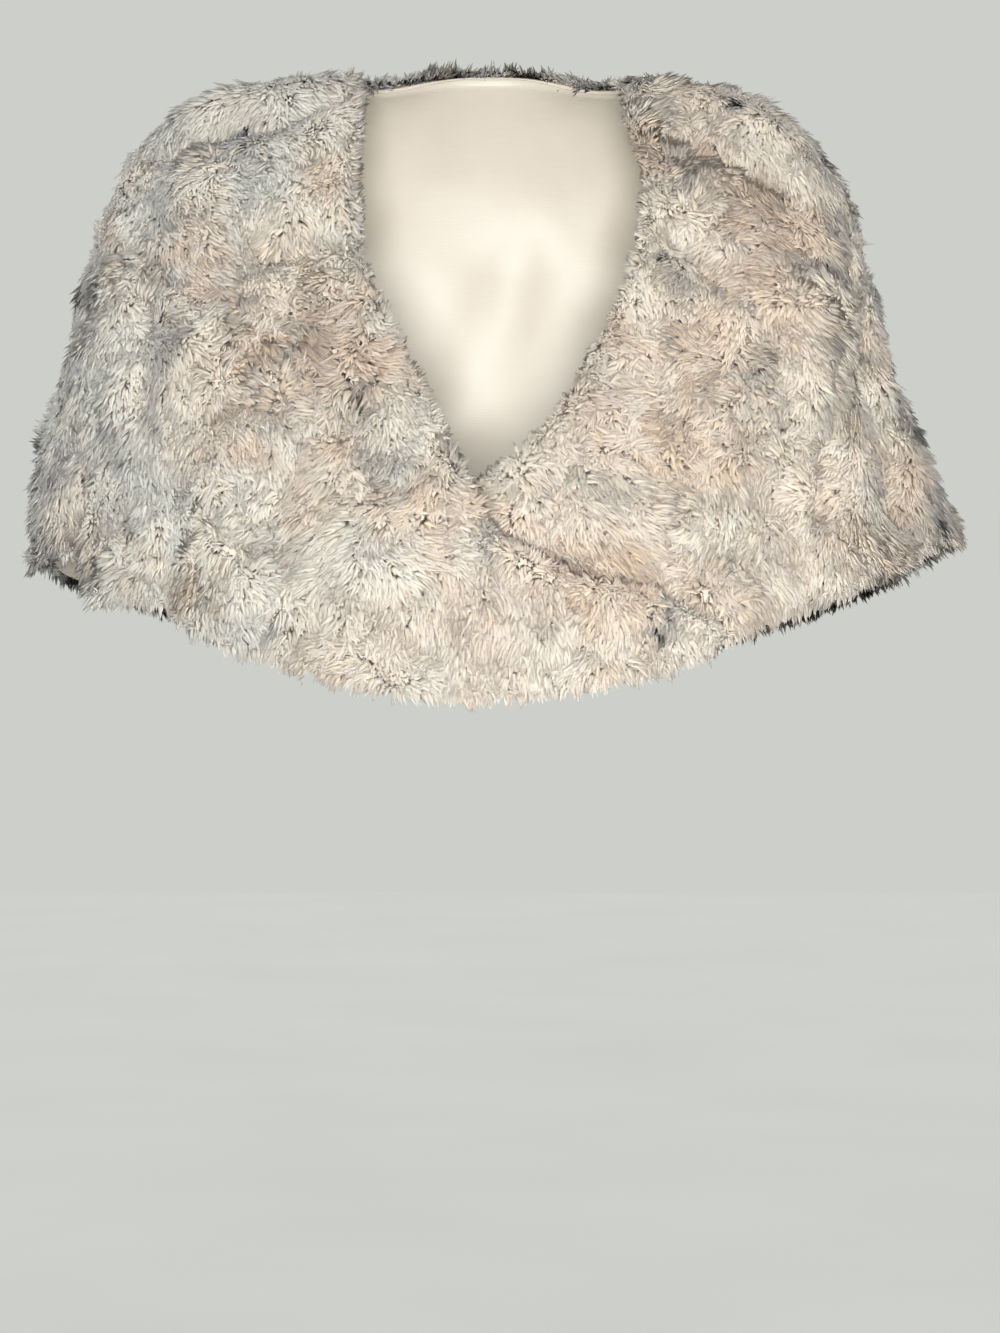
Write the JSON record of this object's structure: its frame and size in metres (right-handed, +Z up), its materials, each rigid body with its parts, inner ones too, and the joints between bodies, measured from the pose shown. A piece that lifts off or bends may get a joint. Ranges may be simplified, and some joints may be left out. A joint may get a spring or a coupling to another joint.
{
  "type": "faux fur capelet",
  "caption": "Short plush faux fur capelet as worn, bell shaped over both shoulders, its right front crossed over the left in a low V, fully lined.",
  "frame": {"origin": "on the wearer's centre line, at the height of the shoulders beside the neck, where the shoulders carry the capelet", "axes": "+Z up, -Y the wearer's front, -X the wearer's right"},
  "size_m": [0.5065, 0.291, 0.3522],
  "materials": {
    "faux_fur": "cream plush faux fur, crushed pile about 13 mm long in swirling clumps, with soft patches of beige, pinkish brown and cool grey",
    "satin_lining": "smooth ivory polyester satin with a soft sheen"
  },
  "bodies": {
    "root": {"back": "faux_fur", "front_right": "faux_fur", "front_left": "faux_fur", "lining_back": "satin_lining", "lining_front_right": "satin_lining", "lining_front_left": "satin_lining"}
  },
  "joints": []
}
